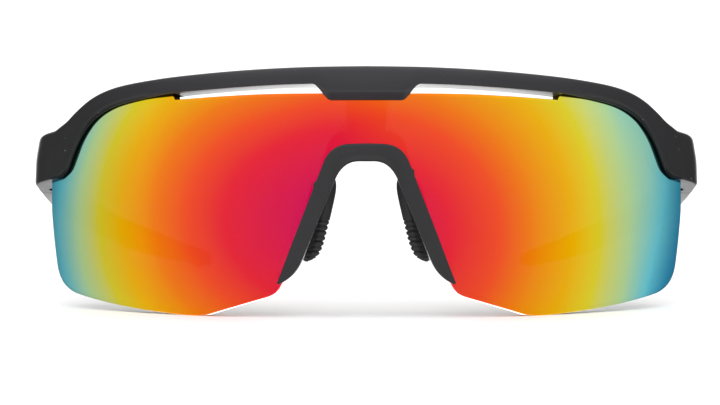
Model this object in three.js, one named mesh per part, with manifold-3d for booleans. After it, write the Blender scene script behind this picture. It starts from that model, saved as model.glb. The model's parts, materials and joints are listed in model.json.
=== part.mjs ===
// Wraparound sport sunglasses: one curved shield lens in a half frame, a clip-on nosepiece with
// two bendable rubber pads, and two folding temples.
// Millimetres, +Z up. The front faces -Y, the temples run back along +Y, and +X is the wearer's
// left. The glasses stand on the two low corners of the lens and on the ends of the temples.

import * as THREE from 'three';
import { mergeVertices } from 'three/addons/utils/BufferGeometryUtils.js';
import Module from 'manifold-3d';

const wasm = await Module();
wasm.setup();

// ---------------------------------------------------------------- driving dimensions

const gap = 0.3;                 // clear space between pieces that meet
const halfWidth = 73.8;          // centre line to the outside of an end block
const wrapRadius = 95;           // lens front, seen from above
const riseRadius = 220;          // lens front, seen from the side
const cornerRadius = 5;          // where the front turns back into an end block
const lensThickness = 2;
const lensRise = 0.6;            // lens face in front of the sheet that all the outlines are drawn on
const frameProud = 2.6;          // frame face in front of that sheet
const frameDepth = 3;            // frame back behind it
const browDepth = 4.9;           // the same, behind the middle of the brow
const browHalf = 8;              // half width of the middle of the brow
const frameChamfer = 0.8;
const lipChamfer = 0.4;          // on the front lower edge, away from the middle of the brow
const rearChamfer = 0.5;         // on the rear lower edge
const rearDrop = 0.5;            // how far the rear lower edge hangs below the front one
const lensTabTop = 25;           // the lens's middle tab, up inside the brow
const lensTabHalf = 8.6;
const lensEdge = 77.7;           // half width of the lens, measured round its curve
const dropAngle = 12.5;          // how far the temples slope down, in degrees
const drop = Math.tan(THREE.MathUtils.degToRad(dropAngle));
const leanAngle = 2.5;           // how far the front leans back when the glasses stand
const lean = THREE.MathUtils.degToRad(leanAngle);
const standingFlat = 0.12;       // depth of the flats that the lens stands on

const hinge = { x: 69.9, y: 37.2, z: 8.2 };
const block = { inner: -1.7, outer: halfWidth - hinge.x, rear: 3 };
const knuckle = { radius: 2.4, clear: 2.75, tongueHalf: 1.9, slotHalf: 2.15, swing: 3.85 };
const screw = { shank: 0.7, head: 1.35, headLow: -5, headHigh: -4.1, top: 4 };
const sleeve = { inner: 0.95, outer: 1.25, bore: 1.55 };
const bushHalf = 1.8;
const insertSpan = [2.45, 4.5];
const screwHole = 1;
const screwRecess = 1.65;
const screwSlot = { length: 3, width: 0.45, depth: 0.25 };

const temple = {
  length: 117.8, gripStart: 75, spigotEnd: 100, bendStart: 31, bend: 0.01115, bendPower: 1.75,
  halfThickness: 2.8, slimming: 0.9, tipSlimming: 0.3, halfHeight: 5.43, taper: 2.6, tipTaper: 1,
  rise: 0.12, sweep: 0.000108, spigotInset: 1, gripProud: 0.25,
};
const bridgeProud = 2.2;
const carrierSpan = [-4.1, -(lensThickness + gap)];
const post = { half: 4.2, low: 14, high: 22.6 };                                // up behind the brow
const key = { half: 2.5, low: 21, high: 26, back: -3.8, front: -2.6 };          // on the post
const keySlot = { half: 2.9, low: 18, high: 26.3, back: -4.1, front: -1.5 };    // in the brow
const boss = { radius: 1.6, front: 3.2, back: 6.2, bore: 0.95, boreFront: 4.4 };  // holds a pad's wire
const padPivot = { x: 8.8, z: 3.6 };
const padWire = 0.6;
const tableReach = 400;

const side = { left: 1, right: -1 };

// ---------------------------------------------------------------- joining and cutting

function toSolid(geometry) {
  const bare = geometry.clone();
  bare.deleteAttribute('normal');
  bare.deleteAttribute('uv');
  const merged = mergeVertices(bare, 1e-4);
  return new wasm.Manifold(new wasm.Mesh({
    numProp: 3,
    vertProperties: Float32Array.from(merged.attributes.position.array),
    triVerts: Uint32Array.from(merged.index.array),
  }));
}

function toGeometry(solid) {
  const mesh = solid.getMesh();
  const geometry = new THREE.BufferGeometry();
  geometry.setAttribute('position', new THREE.BufferAttribute(mesh.vertProperties, 3));
  geometry.setIndex(new THREE.BufferAttribute(mesh.triVerts, 1));
  return geometry;
}

const join = (...pieces) => toGeometry(pieces.map(toSolid).reduce((sum, next) => sum.add(next)));
const cut = (body, ...tools) => toGeometry(
  tools.map(toSolid).reduce((rest, tool) => rest.subtract(tool), toSolid(body)));

// ---------------------------------------------------------------- shaping

// Moves every corner of a geometry to where place(corner) says.
function shape(geometry, place) {
  const corners = geometry.attributes.position;
  const corner = new THREE.Vector3();
  for (let i = 0; i < corners.count; i += 1) {
    const moved = place(corner.fromBufferAttribute(corners, i));
    corners.setXYZ(i, moved.x, moved.y, moved.z);
  }
  return geometry;
}

// The mirror image across the middle of the glasses, with its faces still pointing out.
function mirrored(geometry) {
  const copy = shape(toGeometry(toSolid(geometry)), (corner) => corner.setX(-corner.x));
  const order = copy.index.array;
  for (let i = 0; i < order.length; i += 3) {
    [order[i], order[i + 1]] = [order[i + 1], order[i]];
  }
  return copy;
}

const forSide = (geometry, name) => (side[name] > 0 ? geometry : mirrored(geometry));

// The point at distance a round the front, height z and distance n in front of the lens face.
const turnStart = Math.asin((halfWidth - frameProud - cornerRadius) / (wrapRadius - cornerRadius));
const turnFrom = wrapRadius * turnStart;
const turnTo = turnFrom + cornerRadius * (Math.PI / 2 - turnStart);

function wrap(a, z, n) {
  const along = Math.abs(a);
  const bend = along <= turnFrom ? along / wrapRadius
    : Math.min(turnStart + (along - turnFrom) / cornerRadius, Math.PI / 2);
  let x = wrapRadius * Math.sin(Math.min(bend, turnStart));
  let y = wrapRadius * (1 - Math.cos(Math.min(bend, turnStart)));
  if (along > turnFrom) {
    x += cornerRadius * (Math.sin(bend) - Math.sin(turnStart));
    y += cornerRadius * (Math.cos(turnStart) - Math.cos(bend)) + Math.max(0, along - turnTo);
  }
  const proud = n - (z * z) / (2 * riseRadius);
  return new THREE.Vector3(Math.sign(a) * (x + proud * Math.sin(bend)), y - proud * Math.cos(bend), z);
}

// The height of a drawn outline at distance a round the front.
function heightOf(curve) {
  const points = curve.getPoints(60);
  return (a) => {
    const next = points.findIndex((point) => point.x >= a);
    if (next < 1) return next === 0 ? points[0].y : points.at(-1).y;
    const [p, q] = [points[next - 1], points[next]];
    return p.y + ((q.y - p.y) * (a - p.x)) / (q.x - p.x);
  };
}

const spline = (points) => new THREE.SplineCurve(points.map(([a, z]) => new THREE.Vector2(a, z)));

// Distances for both sides of the front from the ones for one side, which start above 0.
const bothSides = (distances) => [...distances.map((a) => -a).reverse(), 0, ...distances];
const steps = (from, to, count) => Array.from(
  { length: count }, (_, i) => from + ((to - from) * (i + 1)) / count);

// A curved plate between two outlines, as thick as from back to front in front of the lens face.
function plate(distances, lowAt, highAt, back, front, rows = 1) {
  const columns = distances.length - 1;
  return shape(new THREE.BoxGeometry(1, 1, 1, columns, rows, 1), (corner) => {
    const a = distances[Math.round((corner.x + 0.5) * columns)];
    const low = lowAt(Math.abs(a));
    const z = low + (highAt(Math.abs(a)) - low) * (corner.y + 0.5);
    return wrap(a, z, corner.z < 0 ? back : front);
  });
}

// A curved arch between an outer and an inner outline, both drawn from the top down one side.
function arch(outer, inner, back, front, count) {
  const [outerHalf, innerHalf] = [outer, inner].map((path) => path.getSpacedPoints(count));
  const at = (half, i) => {
    const point = half[Math.abs(i)];
    return new THREE.Vector2(Math.sign(i) * point.x, point.y);
  };
  return shape(new THREE.BoxGeometry(1, 1, 1, 2 * count, 1, 1), (corner) => {
    const i = Math.round(corner.x * 2 * count);
    const point = corner.y > 0 ? at(outerHalf, i) : at(innerHalf, i);
    return wrap(point.x, point.y, corner.z < 0 ? back : front);
  });
}

// A bar with an eight-cornered section; place(t, across, up) puts each corner, t from 0 to 1.
const barTurn = Math.PI / 8;
function bar(count, place) {
  const geometry = new THREE.CylinderGeometry(1, 1, 1, 8, count, false, barTurn);
  return shape(geometry, (corner) => place(corner.y + 0.5, corner.x, corner.z));
}

// Where a section corner stands between -half and half, chamfered on the corners.
function chamfered(value, half, chamfer) {
  if (Math.abs(value) < 0.01) return 0;
  return Math.sign(value) * (Math.abs(value) > 0.5 ? half : half - chamfer);
}

function drum(radius, low, high, sides = 16) {
  return new THREE.CylinderGeometry(radius, radius, high - low, sides)
    .rotateX(Math.PI / 2)
    .translate(0, 0, (low + high) / 2);
}

function tube(inner, outer, low, high) {
  const profile = [[inner, low], [outer, low], [outer, high], [inner, high], [inner, low]];
  return new THREE.LatheGeometry(profile.map(([r, z]) => new THREE.Vector2(r, z)), 16).rotateX(Math.PI / 2);
}

// ---------------------------------------------------------------- outlines

const frontTop = heightOf(spline([
  [0, 28.35], [25, 27.75], [48, 26.05], [57, 24.85], [64, 22.5], [69, 19.4], [72, 17.15], [75.5, 16.3]]));
const ventCeiling = heightOf(spline([
  [0, 24.2], [12, 24.2], [29, 23.55], [42, 22.8], [50, 22], [56, 20.95],
  [61, 19.3], [65, 16.7], [68, 13.2], [70.4, 8.9], [71.8, 6.2], [73.8, 5.3]]));
const blockTop = (y) => 15.4 - (y - 29.8) * drop;
const blockFloor = (y) => 4.2 - (y - 31.2) * drop;

const browPlate = { flatHalf: 7.4, edgeHalf: 11.2, floor: 21.2, bevel: 1.9, bevelDepth: 1.3 };
const lensVentTop = heightOf(spline([[8, 22.85], [20, 22.85], [30, 22.55], [42, 21.95]]));
const lensGrip = 1.6;            // how far the lens reaches into the frame

const archOuter = new THREE.Path().moveTo(0, 12.2).lineTo(3.6, 12.1).quadraticCurveTo(7.6, 11.9, 8.9, 7.9)
  .lineTo(18.4, -16.6);
const archInner = new THREE.Path().moveTo(0, 8.4).lineTo(1.6, 8.4).quadraticCurveTo(4.6, 8.4, 6.2, 5)
  .lineTo(13.1, -11.9).quadraticCurveTo(14.6, -15.6, 18, -16.9);
const lensNotch = new THREE.Path().moveTo(0, 10.4).lineTo(2.6, 10.3).quadraticCurveTo(6.2, 10.2, 7.6, 6.5)
  .lineTo(15.9, -13.9).lineTo(17.8, -17);
const webOuter = new THREE.Path().moveTo(0, 10).lineTo(2.4, 9.9).quadraticCurveTo(5.7, 9.8, 7.1, 6.3)
  .lineTo(15.4, -13.9).lineTo(17.2, -16.6);
const carrierOuter = new THREE.Path().moveTo(0, 15.1).lineTo(4.6, 15).quadraticCurveTo(8.2, 14.6, 9, 10.2)
  .lineTo(15.6, -11.2);
const carrierInner = new THREE.Path().moveTo(0, 9).lineTo(1.8, 9).quadraticCurveTo(5, 9, 6.8, 5)
  .lineTo(13.6, -11.4);

// ---------------------------------------------------------------- front

// The lens, or with some clear space round it, the room that it needs in the frame.
function lensPlate(clear) {
  const tabHalf = lensTabHalf + clear;
  const notchSteps = lensNotch.getPoints(6).map((point) => point.x).filter((a) => a > 0);
  const distances = bothSides([
    ...notchSteps, tabHalf, tabHalf + 0.5, 11.3, 13.6, ...steps(17.8, 34, 5), 36.5, 39, 41.5, 42.3,
    45, 48.5, 52, 55.5, 59, 62, 65, 67.5, 69.5, 71, 72.2, 73.4, 74.8, 75.8, 76.7, 77.2,
    lensEdge + clear].sort((p, q) => p - q));
  const floor = heightOf(new THREE.Path().moveTo(17.8, -17).lineTo(18.6, -18)
    .quadraticCurveTo(19.4, -19.3, 22, -20.1).lineTo(33.5, -23.3).quadraticCurveTo(36, -24.1, 39, -23.9)
    .quadraticCurveTo(56, -22.8, 71, -19.7).quadraticCurveTo(75.6, -18.2, 76.5, -13).lineTo(77.7, -2));
  const notch = heightOf(lensNotch);
  const top = (a) => {
    if (a <= tabHalf) return lensTabTop + clear;
    if (a < 42) return lensVentTop(a) + clear;
    return Math.max(ventCeiling(a) + lensGrip, 4.9) + clear;
  };
  const low = (a) => (a < 17.8 ? notch(a) : floor(a));
  return plate(distances, low, top, lensRise - lensThickness - clear, lensRise + clear, 4);
}

function buildLens() {
  return standing(lensPlate(0));
}

// The brow bar and end blocks in one piece, before the lens groove and the hinge are cut.
function frameBar() {
  const end = turnTo + hinge.y + block.rear - wrap(turnTo, 0, 0).y;
  const distances = bothSides([3.6, 7.4, 8.4, 9.6, 11.2, ...steps(11.2, 56, 14), ...steps(56, 76, 12),
    ...steps(76, turnTo, 5), ...steps(turnTo, end, 2)]);
  return bar(distances.length - 1, (t, up, back) => {
    const a = distances[Math.round(t * (distances.length - 1))];
    const along = Math.abs(a);
    const onPlate = 1 - THREE.MathUtils.smoothstep(along, browPlate.flatHalf, browPlate.edgeHalf);
    const inBlock = THREE.MathUtils.smoothstep(along, 73, 76);
    const middle = 1 - THREE.MathUtils.smoothstep(along, browHalf, browHalf + 8);
    const depth = THREE.MathUtils.lerp(frameDepth, browDepth, middle);
    const isFront = back < 0;
    const { y } = wrap(a, hinge.z, isFront ? frameProud : -depth);
    const top = THREE.MathUtils.lerp(frontTop(along), blockTop(y), inBlock);
    const floor = THREE.MathUtils.lerp(ventCeiling(along), blockFloor(y), inBlock);
    let z = 0;
    let n = (frameProud - depth) / 2;
    if (up > 0.01) z = Math.abs(up) > 0.5 ? top : top - frameChamfer;
    if (up < -0.01) {
      const bevel = isFront ? THREE.MathUtils.lerp(lipChamfer, browPlate.bevel, onPlate) : rearChamfer;
      const low = isFront ? THREE.MathUtils.lerp(floor, browPlate.floor, onPlate)
        : floor - rearDrop * (1 - inBlock);
      z = Math.abs(up) > 0.5 ? low : low + bevel;
    }
    if (Math.abs(up) < 0.01) z = (top + floor) / 2;
    if (Math.abs(back) > 0.01) {
      const inset = Math.abs(back) > 0.5 ? 0
        : up < 0 && isFront ? THREE.MathUtils.lerp(lipChamfer, browPlate.bevelDepth, onPlate) : frameChamfer;
      n = isFront ? frameProud - inset : -depth + inset;
    }
    return wrap(a, z, n);
  });
}

// The slot that the temple's tongue swings in, and the holes on the hinge's axis.
function hingeCuts() {
  const height = 2 * knuckle.slotHalf;
  const slot = join(
    drum(knuckle.clear, -knuckle.slotHalf, knuckle.slotHalf, 20),
    new THREE.BoxGeometry(9, 8, height).translate(knuckle.clear - 4.5, 4, 0),
    new THREE.BoxGeometry(6, 8, height).translate(-3, 4 - knuckle.clear, 0));
  const recess = drum(screwRecess, -9, screw.headHigh + gap / 2);
  const hole = drum(screwHole, -9, 0);
  const insertHole = drum(sleeve.bore, 0, insertSpan[1] + gap);
  return join(slot, recess, hole, insertHole).translate(hinge.x, hinge.y, hinge.z);
}

function buildBrowFrame() {
  const cuts = hingeCuts();
  const pocket = plate(
    [-keySlot.half, 0, keySlot.half], () => keySlot.low, () => keySlot.high, keySlot.back, keySlot.front);
  return cut(frameBar(), lensPlate(gap), pocket, cuts, mirrored(cuts));
}

// ---------------------------------------------------------------- nosepiece

function buildNoseBridge() {
  const face = arch(archOuter, archInner, lensRise + gap, bridgeProud, 14);
  const web = arch(webOuter, archInner, -lensThickness, lensRise + 2 * gap, 14);
  return join(face, web);
}

// A drum that lies along +Y with its middle on the pad's pivot.
const pivotDrum = (radius, front, back) => drum(radius, front, back, 12)
  .rotateX(-Math.PI / 2)
  .translate(padPivot.x, 0, padPivot.z);

function buildNoseCarrier() {
  const flange = arch(carrierOuter, carrierInner, ...carrierSpan, 12);
  const upright = plate([-post.half, 0, post.half], () => post.low, () => post.high, ...carrierSpan);
  const tongue = plate([-key.half, 0, key.half], () => key.low, () => key.high, key.back, key.front);
  const knob = pivotDrum(boss.radius, boss.front, boss.back);
  const hole = pivotDrum(boss.bore, boss.boreFront, boss.back + 1);
  return cut(join(flange, upright, tongue, knob, mirrored(knob)), hole, mirrored(hole));
}

// The left pad's line from its top to its bottom end, and its width direction, front to back.
const padTop = new THREE.Vector3(8.9, 9.5, 4.8);
const padFoot = new THREE.Vector3(13, 11.5, -12.6);
const padAcross = new THREE.Vector3(0.55, 0.83, 0).normalize();
const padHalfWidth = 4;
const padHalfThickness = 1.45;
const ribCount = 8;
const ribDepth = 0.22;

const padWireLine = (end) => new THREE.CatmullRomCurve3([
  [padPivot.x, 4.7, padPivot.z], [padPivot.x, 8.2, padPivot.z], [9.1, 9.6, 2.9], [9.6, 9.9, 1], end,
].map((point) => new THREE.Vector3(...point)));

const circle = (radius, sides) => new THREE.Shape(steps(0, 2 * Math.PI, sides)
  .map((turn) => new THREE.Vector2(radius * Math.cos(turn), radius * Math.sin(turn))));

const wireAlong = (path, radius, count) => new THREE.ExtrudeGeometry(
  circle(radius, 8), { steps: count, bevelEnabled: false, extrudePath: path });

function buildPad() {
  const count = 2 * ribCount + 7;
  const plain = 7;
  const outward = new THREE.Vector3(padAcross.y, -padAcross.x, 0);
  const body = bar(count, (t, across, through) => {
    const ring = Math.round((1 - t) * count);
    const down = ring / count;
    const rounding = Math.sqrt(Math.max(0.08, 1 - Math.abs(2 * down - 1) ** 5));
    const rib = ring > plain && ring < count && ring % 2 === 0 ? -ribDepth : 0;
    return padTop.clone().lerp(padFoot, down)
      .addScaledVector(padAcross, across * (padHalfWidth * rounding + rib))
      .addScaledVector(outward, through * (padHalfThickness * (0.55 + 0.45 * rounding) + rib));
  });
  return cut(body, wireAlong(padWireLine([10.9, 10.55, -4.5]), padWire + gap, 10));
}

const buildPadWire = () => wireAlong(padWireLine([10.8, 10.5, -4]), padWire, 10);

// ---------------------------------------------------------------- temples, in the hinge's own frame

// The middle of the temple at distance y behind the hinge, and its half thickness and half height.
function templeAt(y) {
  const bend = Math.max(0, y - temple.bendStart) ** temple.bendPower * temple.bend;
  const slim = THREE.MathUtils.smoothstep(y, 2, 30);
  const taper = THREE.MathUtils.smoothstep(y, 4, 80);
  const tip = THREE.MathUtils.smoothstep(y, 80, temple.length);
  const halfThickness = temple.halfThickness - temple.slimming * slim - temple.tipSlimming * tip;
  return {
    x: block.outer - halfThickness - bend,
    z: temple.rise - drop * y + temple.sweep * y * y,
    halfThickness,
    halfHeight: temple.halfHeight - temple.taper * taper - temple.tipTaper * tip,
  };
}

// A length of the temple's own shape, grown or shrunk by more.
function templeLength(from, to, count, more = 0) {
  return bar(count, (t, across, up) => {
    const y = from + (to - from) * t;
    const { x, z, halfThickness, halfHeight } = templeAt(y);
    const [thick, tall] = [halfThickness + more, halfHeight + more];
    const chamfer = 0.3 * thick;
    return new THREE.Vector3(x + chamfered(across, thick, chamfer), y, z + chamfered(up, tall, chamfer));
  });
}

function buildTemple() {
  const body = templeLength(block.rear + gap, temple.gripStart, 18);
  const spigot = templeLength(temple.gripStart - 1, temple.spigotEnd, 6, -temple.spigotInset);
  const tongue = drum(knuckle.radius, -knuckle.tongueHalf, knuckle.tongueHalf, 20);
  const neck = new THREE.BoxGeometry(knuckle.radius + 1.5, 4.5, 2 * knuckle.tongueHalf)
    .translate((knuckle.radius - 1.5) / 2, 2.25, 0);
  const bore = drum(sleeve.bore, -3, 3);
  return cut(join(cut(join(body, spigot), drum(knuckle.swing, -9, 9, 24)), tongue, neck), bore);
}

function buildEarGrip() {
  const outside = templeLength(temple.gripStart + gap, temple.length, 14, temple.gripProud);
  const inside = templeLength(temple.gripStart - 1, temple.spigotEnd + gap, 6, gap - temple.spigotInset);
  return cut(outside, inside);
}

function buildHingeScrew() {
  const head = drum(screw.head, screw.headLow, screw.headHigh);
  const shank = drum(screw.shank, screw.headHigh - 0.5, screw.top, 12);
  const slot = new THREE.BoxGeometry(screwSlot.length, screwSlot.width, 2 * screwSlot.depth)
    .translate(0, 0, screw.headLow);
  return cut(join(head, shank), slot);
}

const buildHingeBush = () => tube(sleeve.inner, sleeve.outer, -bushHalf, bushHalf);
const buildHingeInsert = () => tube(sleeve.inner, sleeve.outer, ...insertSpan);

// ---------------------------------------------------------------- standing on a table

// The front leans back, which brings the lens's low corners and the temple ends to one level.
const leaning = new THREE.Group();
leaning.rotation.x = -lean;
leaning.updateMatrixWorld();

const lensLowest = (() => {
  const box = new THREE.Box3().setFromObject(new THREE.Mesh(lensPlate(0).applyMatrix4(leaning.matrix)));
  return box.min.z;
})();

// Cuts off what would stand below the table, in the leaning group, for a piece moved by offset.
function standing(geometry, offset = new THREE.Vector3()) {
  const table = new THREE.BoxGeometry(tableReach, tableReach, tableReach)
    .translate(0, 0, lensLowest + standingFlat - tableReach / 2)
    .applyMatrix4(leaning.matrix.clone().invert())
    .translate(-offset.x, -offset.y, -offset.z);
  return cut(geometry, table);
}

// ---------------------------------------------------------------- assembly

const matt = { roughness: 0.62, metalness: 0 };
const finishes = {
  frame: { color: 0x26272a, ...matt },
  mirror: { color: 0xe8502c, roughness: 0.12, metalness: 0.7 },
  bridge: { color: 0x303134, ...matt },
  carrier: { color: 0x232427, ...matt },
  rubber: { color: 0x1c1d1f, roughness: 0.85, metalness: 0 },
  steel: { color: 0xb8bbc0, roughness: 0.3, metalness: 1 },
  brass: { color: 0xc8a45a, roughness: 0.35, metalness: 1 },
};

function piece(name, geometry, finish) {
  const mesh = new THREE.Mesh(geometry, new THREE.MeshStandardMaterial(finishes[finish]));
  mesh.name = name;
  return mesh;
}

leaning.add(
  piece('brow_frame', buildBrowFrame(), 'frame'),
  piece('shield_lens', buildLens(), 'mirror'),
  piece('nose_bridge', buildNoseBridge(), 'bridge'),
  piece('nose_carrier', buildNoseCarrier(), 'carrier'));

const hingeOffset = new THREE.Vector3(hinge.x, hinge.y, hinge.z);
const pad = buildPad();
const padWirePiece = buildPadWire();
const hingePieces = {
  temple: [buildTemple(), 'frame'],
  ear_grip: [standing(buildEarGrip(), hingeOffset), 'rubber'],
  hinge_screw: [buildHingeScrew(), 'steel'],
  hinge_bush: [buildHingeBush(), 'brass'],
  hinge_insert: [buildHingeInsert(), 'brass'],
};

for (const [name, sign] of Object.entries(side)) {
  leaning.add(
    piece(`${name}_nose_pad`, forSide(pad, name), 'rubber'),
    piece(`${name}_pad_wire`, forSide(padWirePiece, name), 'steel'));
  const hingeGroup = new THREE.Group();
  hingeGroup.position.set(sign * hinge.x, hinge.y, hinge.z);
  for (const [part, [geometry, finish]] of Object.entries(hingePieces)) {
    hingeGroup.add(piece(`${name}_${part}`, forSide(geometry, name), finish));
  }
  leaning.add(hingeGroup);
}

const glasses = new THREE.Group();
glasses.add(leaning);
const extent = new THREE.Box3().setFromObject(glasses, true);
leaning.position.set(0, -(extent.min.y + extent.max.y) / 2, -extent.min.z);

export default glasses;
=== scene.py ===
# Wraparound sport sunglasses: fine pieces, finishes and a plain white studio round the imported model.
import json
import math
import bmesh
import bpy
from mathutils import Matrix, Vector


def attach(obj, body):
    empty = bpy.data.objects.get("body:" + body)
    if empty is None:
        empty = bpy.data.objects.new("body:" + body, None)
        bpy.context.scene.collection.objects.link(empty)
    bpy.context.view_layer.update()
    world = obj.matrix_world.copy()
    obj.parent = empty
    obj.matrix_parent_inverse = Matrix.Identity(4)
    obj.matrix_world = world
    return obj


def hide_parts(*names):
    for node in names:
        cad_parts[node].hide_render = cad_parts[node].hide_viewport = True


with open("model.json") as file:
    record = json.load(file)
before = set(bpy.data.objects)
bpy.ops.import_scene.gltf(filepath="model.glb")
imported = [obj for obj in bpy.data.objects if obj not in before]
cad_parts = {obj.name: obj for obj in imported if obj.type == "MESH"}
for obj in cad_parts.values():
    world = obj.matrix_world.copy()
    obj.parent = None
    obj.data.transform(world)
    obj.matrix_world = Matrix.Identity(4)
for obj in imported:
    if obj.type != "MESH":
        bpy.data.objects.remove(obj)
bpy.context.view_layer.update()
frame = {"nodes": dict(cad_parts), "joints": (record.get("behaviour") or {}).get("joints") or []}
print("frame loaded")

# Shapes are worked out in millimetres, upright, with the lens's front middle point at 0, 0, 0.
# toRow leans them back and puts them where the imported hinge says.
layout = {
    "halfWidth": 73.8, "wrapRadius": 95.0, "riseRadius": 220.0, "cornerRadius": 5.0,
    "proud": 2.6, "depth": 3.0, "browDepth": 4.9, "lensThickness": 2.0, "lensRise": 0.6,
    "hinge": Vector((69.9, 37.2, 8.2)), "blockRear": 3.0, "dropAngle": 12.5,
}
drop = math.tan(math.radians(layout["dropAngle"]))
foldJoint = next(joint for joint in frame["joints"] if joint["name"] == "left_temple_fold")
lean = math.atan2(foldJoint["axis"][1], foldJoint["axis"][2])
leaned = Matrix.Rotation(-lean, 4, "X") @ Matrix.Scale(0.001, 4)
toRow = Matrix.Translation(Vector(foldJoint["pos_m"]) - leaned @ layout["hinge"]) @ leaned
sides = {"left": 1, "right": -1}


def mix(low, high, amount):
    return low + (high - low) * amount


def ease(value, start, end):
    t = min(1.0, max(0.0, (value - start) / (end - start)))
    return t * t * (3 - 2 * t)


# The front's wide curve ends at the angle turnStart, and the tight corner towards the temple begins there.
turnStart = math.asin((layout["halfWidth"] - layout["proud"] - layout["cornerRadius"])
                      / (layout["wrapRadius"] - layout["cornerRadius"]))
turnFrom = layout["wrapRadius"] * turnStart
turnTo = turnFrom + layout["cornerRadius"] * (math.pi / 2 - turnStart)


def wrapPoint(a, z, n):
    # the point at distance a round the front, height z, and n in front of the lens face
    along = abs(a)
    straight = min(along / layout["wrapRadius"], turnStart)
    x = layout["wrapRadius"] * math.sin(straight)
    y = layout["wrapRadius"] * (1 - math.cos(straight))
    bend = straight
    if along > turnFrom:
        bend = min(turnStart + (along - turnFrom) / layout["cornerRadius"], math.pi / 2)
        x += layout["cornerRadius"] * (math.sin(bend) - math.sin(turnStart))
        y += layout["cornerRadius"] * (math.cos(turnStart) - math.cos(bend)) + max(0.0, along - turnTo)
    proud = n - z * z / (2 * layout["riseRadius"])
    return Vector((math.copysign(x + proud * math.sin(bend), a), y - proud * math.cos(bend), z))


def smoothLine(points, count=12):
    # a Catmull-Rom line through the points
    line = []
    padded = [points[0]] + list(points) + [points[-1]]
    for p0, p1, p2, p3 in zip(padded, padded[1:], padded[2:], padded[3:]):
        for k in range(count):
            t = k / count
            line.append(tuple(
                0.5 * (2 * b + (c - a) * t + (2 * a - 5 * b + 4 * c - d) * t ** 2
                       + (3 * b - a - 3 * c + d) * t ** 3)
                for a, b, c, d in zip(p0, p1, p2, p3)))
    return line + [tuple(points[-1])]


def drawnLine(start, *parts):
    # straight parts have one point, rounded parts a control point and an end
    straightSteps, roundSteps = 8, 14
    line = [Vector(start)]
    for part in parts:
        begin, end = line[-1], Vector(part[-2:])
        if len(part) == 2:
            line += [begin.lerp(end, k / straightSteps) for k in range(1, straightSteps + 1)]
        else:
            middle = Vector(part[:2])
            shares = [k / roundSteps for k in range(1, roundSteps + 1)]
            line += [begin.lerp(middle, t).lerp(middle.lerp(end, t), t) for t in shares]
    return line


def heightAt(line):
    def height(a):
        for p, q in zip(line, line[1:]):
            if q[0] >= a:
                return mix(p[1], q[1], max(0.0, (a - p[0]) / max(q[0] - p[0], 1e-6)))
        return line[-1][1]
    return height


def evenly(line, count):
    # the same line with points an even distance apart
    points = [Vector(p) for p in line]
    travelled = [0.0]
    for p, q in zip(points, points[1:]):
        travelled.append(travelled[-1] + (q - p).length)
    result, part = [], 0
    for k in range(count + 1):
        goal = travelled[-1] * k / count
        while part < len(points) - 2 and travelled[part + 1] < goal:
            part += 1
        share = (goal - travelled[part]) / max(travelled[part + 1] - travelled[part], 1e-6)
        result.append(points[part].lerp(points[part + 1], min(1.0, share)))
    return result


def bothSides(distances):
    return [-a for a in reversed(distances)] + [0.0] + list(distances)


def spread(start, end, step):
    count = max(1, round((end - start) / step))
    return [start + (end - start) * (k + 1) / count for k in range(count)]


def roundedLoop(corners, reaches, samples=5, fill=None):
    # a closed outline with each corner rounded off, starting reach before it
    # fill gives how many points stand between two corners
    # longest is the most of a side that a corner takes
    longest = 0.45
    loop = []
    for i, corner in enumerate(corners):
        before, after = corners[i - 1] - corner, corners[(i + 1) % len(corners)] - corner
        start = corner + before.normalized() * min(reaches[i], before.length * longest)
        end = corner + after.normalized() * min(reaches[i], after.length * longest)
        loop += [start.lerp(corner, k / samples).lerp(corner.lerp(end, k / samples), k / samples)
                 for k in range(samples + 1)]
        if fill and fill[i]:
            following = (i + 1) % len(corners)
            stop = corners[following] - after.normalized() * min(reaches[following], after.length * longest)
            loop += [end.lerp(stop, k / (fill[i] + 1)) for k in range(1, fill[i] + 1)]
    return loop


def skin(loops, strip=None):
    # one closed skin over a row of loops with the same number of points
    # strip says which faces take the second finish
    columns, rows = len(loops) - 1, len(loops[0])
    bm = bmesh.new()
    bmesh.ops.create_grid(bm, x_segments=columns, y_segments=rows, size=0.5)
    for face in bm.faces:
        middle = face.calc_center_median()
        if strip and strip((middle.x + 0.5) * columns, int((middle.y + 0.5) * rows)):
            face.material_index = 1
    for vert in bm.verts:
        vert.co = loops[round((vert.co.x + 0.5) * columns)][round((vert.co.y + 0.5) * rows) % rows]
    bmesh.ops.remove_doubles(bm, verts=bm.verts, dist=1e-4)
    bmesh.ops.holes_fill(bm, edges=[edge for edge in bm.edges if edge.is_boundary])
    bmesh.ops.recalc_face_normals(bm, faces=bm.faces)
    if bm.calc_volume(signed=True) < 0:
        bmesh.ops.reverse_faces(bm, faces=bm.faces)
    return bm


def block(low, high):
    bm = bmesh.new()
    bmesh.ops.create_cube(bm, size=1.0)
    for vert in bm.verts:
        vert.co = [mix(low[i], high[i], vert.co[i] + 0.5) for i in range(3)]
    return bm


def drum(radius, low, high, at, segments=48):
    bm = bmesh.new()
    bmesh.ops.create_cone(bm, cap_ends=True, segments=segments, radius1=radius, radius2=radius,
                          depth=high - low)
    bmesh.ops.translate(bm, verts=bm.verts, vec=Vector(at) + Vector((0, 0, (low + high) / 2)))
    return bm


def meshObject(name, bm):
    mesh = bpy.data.meshes.new(name)
    bm.to_mesh(mesh)
    bm.free()
    obj = bpy.data.objects.new(name, mesh)
    bpy.context.scene.collection.objects.link(obj)
    return obj


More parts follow.
